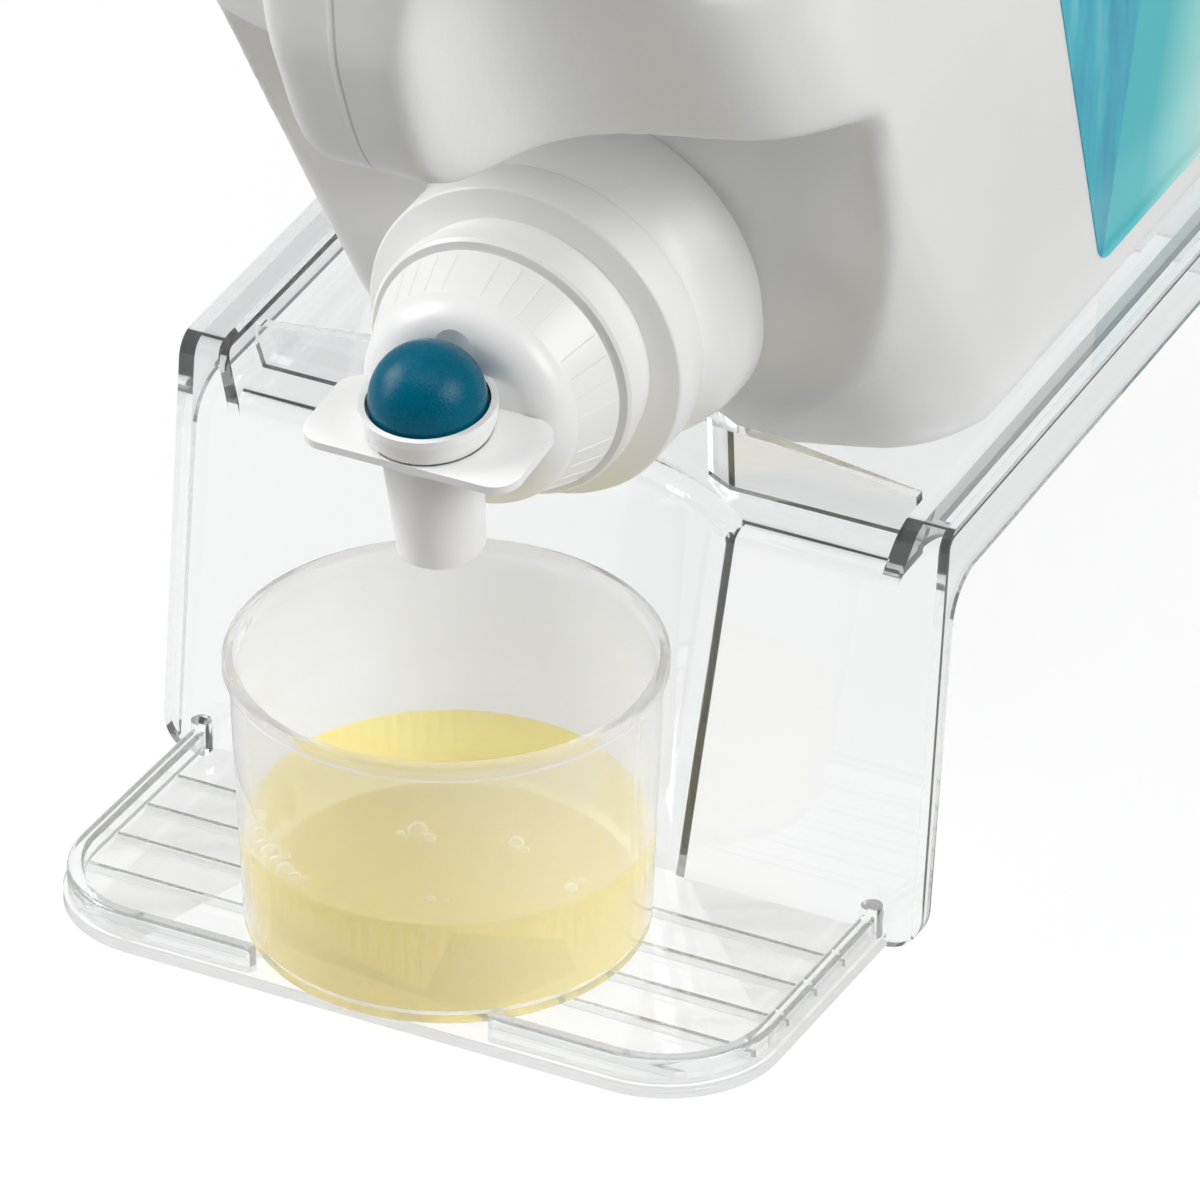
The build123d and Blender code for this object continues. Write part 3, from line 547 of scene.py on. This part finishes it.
def shoulder_back(x, up):
    """How far back the blown shoulder lies beside and under the neck, at a width and a height."""
    corner = max(abs(x) - CORNER_START, 0)
    lean = (SHOULDER_LEAN_RIGHT if x > 0 else SHOULDER_LEAN_LEFT) * up
    if up > 0:
        lean *= ease(abs(x), SHOULDER_FLAT, SHOULDER_LEANING)
    return SHOULDER_PLACE - lean + CORNER_BEND * corner * corner


def press_shoulder(mesh):
    """Presses the leaning front back under the brow, which keeps its overhang."""
    there = neck_frame()
    home = there.inverted()
    for vert in mesh.vertices:
        place = home @ vert.co
        if place.z > PRESS_TOP or place.y > PRESS_REACH or abs(place.x) > PRESS_SIDE:
            continue
        deep = shoulder_back(place.x, place.z) - place.y
        if deep <= 0:
            continue
        keep = ease(place.z, BROW_LOW, BROW_FULL)
        place.y += deep * (1 - keep)
        vert.co = there @ place


def jug_skin():
    """The body of the jug with the softened edges of a blown bottle, neck left off."""
    obj = bpy.data.objects.new("jug_skin", nodes["jug"].data.copy())
    bpy.context.scene.collection.objects.link(obj)
    corners = [
        (SKIN_CUT_FRONT, 0), (SKIN_CUT_FRONT, SKIN_CUT_R), (SKIN_CUT_END, SKIN_CUT_R), (SKIN_CUT_END, 0)]
    cutter = turned(corners, CUTTER_SEGMENTS)
    cutter.transform(neck_frame())
    cut = bpy.data.objects.new("neck_cut", mesh_of(cutter, "neck_cut", smooth=False))
    bpy.context.scene.collection.objects.link(cut)
    weld = obj.modifiers.new("weld", "WELD")
    weld.merge_threshold = WELD_REACH
    carve = obj.modifiers.new("carve", "BOOLEAN")
    carve.operation = "DIFFERENCE"
    carve.solver = "EXACT"
    carve.object = cut
    remeshed(obj, SKIN_VOXEL)
    bpy.data.objects.remove(cut)
    press_shoulder(obj.data)
    remeshed(obj, SKIN_VOXEL, smooth=SKIN_SOFTENING)
    mesh = obj.data
    bpy.data.objects.remove(obj)
    smooth_faces(mesh)
    skin = new_object("jug_skin", mesh, MATERIALS["jug"])
    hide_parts("jug")


def jug_neck():
    """Collar, groove and flaring foot of the neck, turned; its outline is in millimetres."""
    collar = [(5.0, 0), (5.0, 30.9), (5.25, 31.25), (5.6, 31.4), (13.4, 31.4), (14.0, 31.2)]
    groove = [(14.35, 30.7), (14.8, 29.4), (15.6, 28.5), (16.8, 28.05), (18.3, 28.0), (19.6, 28.35)]
    foot = [(21.5, 29.5), (24.0, 31.2), (26.5, 32.7), (28.4, 33.5), (30.0, 33.9), (32.0, 34.1)]
    rear = [(42.0, 34.1), (42.0, 0)]
    outline = collar + groove + foot + rear
    form = turned([(along * MM, radius * MM) for along, radius in outline], NECK_SEGMENTS)
    form.transform(neck_frame())
    mesh = mesh_of(form, "jug_neck")
    mesh.set_sharp_from_angle(angle=NECK_CREASE)
    neck = new_object("jug_neck", mesh, NECK_PAINTED_LIGHT)
    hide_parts("jug")


def grip_line(form, around):
    """One fine raised line along the closure's cone, at an angle round the neck."""
    out_way = Vector((sin(around), 0, cos(around)))
    side_way = Vector((cos(around), 0, -sin(around)))

    def spot(along, aside, proud):
        radius = GRIP_FRONT_R + (along - GRIP_FRONT) * GRIP_SLOPE + proud
        return form.verts.new(out_way * radius + side_way * aside + Vector((0, along, 0)))

    def section(along):
        sides = [(-GRIP_HALF, -GRIP_SUNK), (0, GRIP_PROUD), (GRIP_HALF, -GRIP_SUNK)]
        return [spot(along, aside, proud) for aside, proud in sides]

    front, rear = spot(GRIP_FRONT, 0, -GRIP_SUNK), spot(GRIP_REAR, 0, -GRIP_SUNK)
    near, far = section(GRIP_FRONT + GRIP_RUN_OUT), section(GRIP_REAR - GRIP_RUN_OUT)
    for i in range(3):
        j = (i + 1) % 3
        form.faces.new((front, near[j], near[i]))
        form.faces.new((near[i], near[j], far[j], far[i]))
        form.faces.new((far[i], far[j], rear))


def grip_lines():
    """Fine raised grip lines round the screw closure, in groups with one place left out."""
    form = bmesh.new()
    for place in range(GRIP_PLACES):
        if place % GRIP_GROUP != GRIP_GROUP - 1:
            grip_line(form, (place + 0.5) * 2 * pi / GRIP_PLACES)
    bmesh.ops.recalc_face_normals(form, faces=form.faces)
    form.transform(neck_frame())
    mesh = mesh_of(form, "grip_lines", smooth=False)
    new_object("grip_lines", mesh, MATERIALS["tap_body"])


def bubbles():
    """Foam bubbles on the poured detergent; places from the cup's middle and radii in millimetres."""
    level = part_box("detergent")[1].z
    by_wall = [
        (-30.2, -15.6, 1.5), (-28.6, -18.6, 1.1), (-27.2, -20.6, 1.6), (-24.6, -23.4, 1.2),
        (-22.2, -24.8, 1.7), (-19.6, -27.2, 1.3), (-17.0, -28.9, 1.6), (-14.4, -30.2, 1.1),
        (-24.0, -21.0, 0.9), (-19.0, -25.0, 0.8), (-12.4, -30.2, 0.8)]
    afloat = [
        (-2.6, -6.4, 1.8), (0.6, -8.0, 1.2), (-4.6, -9.2, 0.9), (15.0, -2.0, 1.4), (17.6, -3.8, 0.9),
        (10.4, -26.0, 0.9), (13.0, -25.2, 0.7), (30.6, -11.0, 1.1), (31.4, -8.2, 0.8)]
    form = bmesh.new()
    flat = Matrix.Diagonal((1, 1, BUBBLE_FLATNESS, 1))
    for x, y, radius in by_wall + afloat:
        place = Matrix.Translation((x * MM, CUP_Y + y * MM, level)) @ flat
        bmesh.ops.create_icosphere(form, subdivisions=3, radius=radius * MM, matrix=place)
    mesh = mesh_of(form, "foam_bubbles")
    new_object("foam_bubbles", mesh, foam())


def coil_spring():
    """The return spring, a smooth-shaded copy of the part's coil with its wire's creases kept sharp."""
    mesh = nodes["return_spring"].data.copy()
    spring = new_object("coil_spring", mesh, MATERIALS["return_spring"])
    smooth_faces(mesh)
    mesh.set_sharp_from_angle(angle=WIRE_CREASE)
    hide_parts("return_spring")
    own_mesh(spring)


jug_skin()
jug_neck()
grip_lines()
bubbles()
coil_spring()


# Studio
def white_stage():
    """Pale floor that the camera sees as white, keeping the contact shadow."""
    mesh = bpy.data.meshes.new("floor")
    corners = [(-1, -1), (1, -1), (1, 1), (-1, 1)]
    mesh.from_pydata([(x * FLOOR_HALF, y * FLOOR_HALF, 0) for x, y in corners], [], [(0, 1, 2, 3)])
    floor = bpy.data.objects.new("floor", mesh)
    bpy.context.scene.collection.objects.link(floor)
    mat, out, add, link = tree_of("floor_white")
    real = add("ShaderNodeBsdfDiffuse")
    real.inputs["Color"].default_value = (FLOOR_GREY, FLOOR_GREY, FLOOR_GREY, 1)
    thin = add("ShaderNodeBsdfDiffuse")
    thin.inputs["Color"].default_value = (FLOOR_THIN, FLOOR_THIN, FLOOR_THIN, 1)
    glow = add("ShaderNodeEmission", Strength=FLOOR_GLOW)
    glow.inputs["Color"].default_value = (1, 1, 1, 1)
    path = add("ShaderNodeLightPath")
    seen = add("ShaderNodeMath", operation="MAXIMUM")
    link(path.outputs["Is Camera Ray"], seen.inputs[0])
    link(path.outputs["Is Transmission Ray"], seen.inputs[1])
    both = add("ShaderNodeAddShader")
    link(thin.outputs[0], both.inputs[0])
    link(glow.outputs[0], both.inputs[1])
    mix = blended(add, link, real, both, seen.outputs[0])
    link(mix.outputs[0], out.inputs["Surface"])
    mesh.materials.append(mat)


def soft_lamp(name, place, target, size, power):
    """A rectangular lamp aimed at a point."""
    data = bpy.data.lights.new(name, "AREA")
    data.shape = "RECTANGLE"
    data.size, data.size_y = size
    data.energy = power
    lamp = bpy.data.objects.new(name, data)
    bpy.context.scene.collection.objects.link(lamp)
    lamp.location = place
    lamp.rotation_euler = (Vector(target) - Vector(place)).to_track_quat("-Z", "Y").to_euler()


def world():
    """White behind the object for the camera, and a dim room that is darkest on the camera's side."""
    scene_world = bpy.data.worlds.new("studio")
    bpy.context.scene.world = scene_world
    scene_world.use_nodes = True
    tree = scene_world.node_tree
    tree.nodes.clear()
    link = tree.links.new

    def add(kind):
        return tree.nodes.new(kind)

    def background(color, strength=1.0):
        node = add("ShaderNodeBackground")
        node.inputs["Color"].default_value = (*color, 1)
        node.inputs["Strength"].default_value = strength
        return node

    coords = add("ShaderNodeTexCoord")
    split = add("ShaderNodeSeparateXYZ")
    link(coords.outputs["Generated"], split.inputs[0])
    depth = ranged(add, link, split.outputs["Y"], ROOM_FRONT, ROOM_BACK, start=-ROOM_SPAN, end=ROOM_SPAN)
    soft = background((0.99, 0.995, 1.0))
    link(depth.outputs["Result"], soft.inputs["Strength"])
    path = add("ShaderNodeLightPath")
    through = background((0.97, 0.99, 1.0), ROOM_THROUGH)
    room = blended(add, link, soft, through, path.outputs["Is Transmission Ray"])
    mix = blended(add, link, room, background((1, 1, 1)), path.outputs["Is Camera Ray"])
    link(mix.outputs[0], add("ShaderNodeOutputWorld").inputs["Surface"])


def camera():
    """The photograph's viewpoint: 27.5 degrees to the right and 31 degrees above the tap."""
    data = bpy.data.cameras.new("camera")
    data.lens = LENS
    data.sensor_width = SENSOR
    data.clip_end = 20.0
    cam = bpy.data.objects.new("camera", data)
    bpy.context.scene.collection.objects.link(cam)
    back = VIEW_BACK.normalized()
    up = back.cross(VIEW_RIGHT).normalized()
    turn = Matrix((VIEW_RIGHT, up, back)).transposed().to_4x4()
    cam.matrix_world = Matrix.Translation(VIEW_PLACE) @ turn
    bpy.context.scene.camera = cam


white_stage()
world()
soft_lamp("left_box", (-1.05, -0.38, 0.80), (0, -0.06, 0.14), (0.7, 0.7), 13)
soft_lamp("left_spark", (-0.95, -0.62, 0.36), (0, -0.12, 0.12), (0.16, 0.3), 1.6)
soft_lamp("right_box", (1.12, -0.22, 0.80), (0, -0.04, 0.14), (0.7, 0.7), 11.5)
soft_lamp("top_box", (0.05, -0.58, 2.85), (0, -0.06, 0.1), (2.1, 1.9), 45)
camera()
bpy.context.scene.view_settings.view_transform = "Standard"
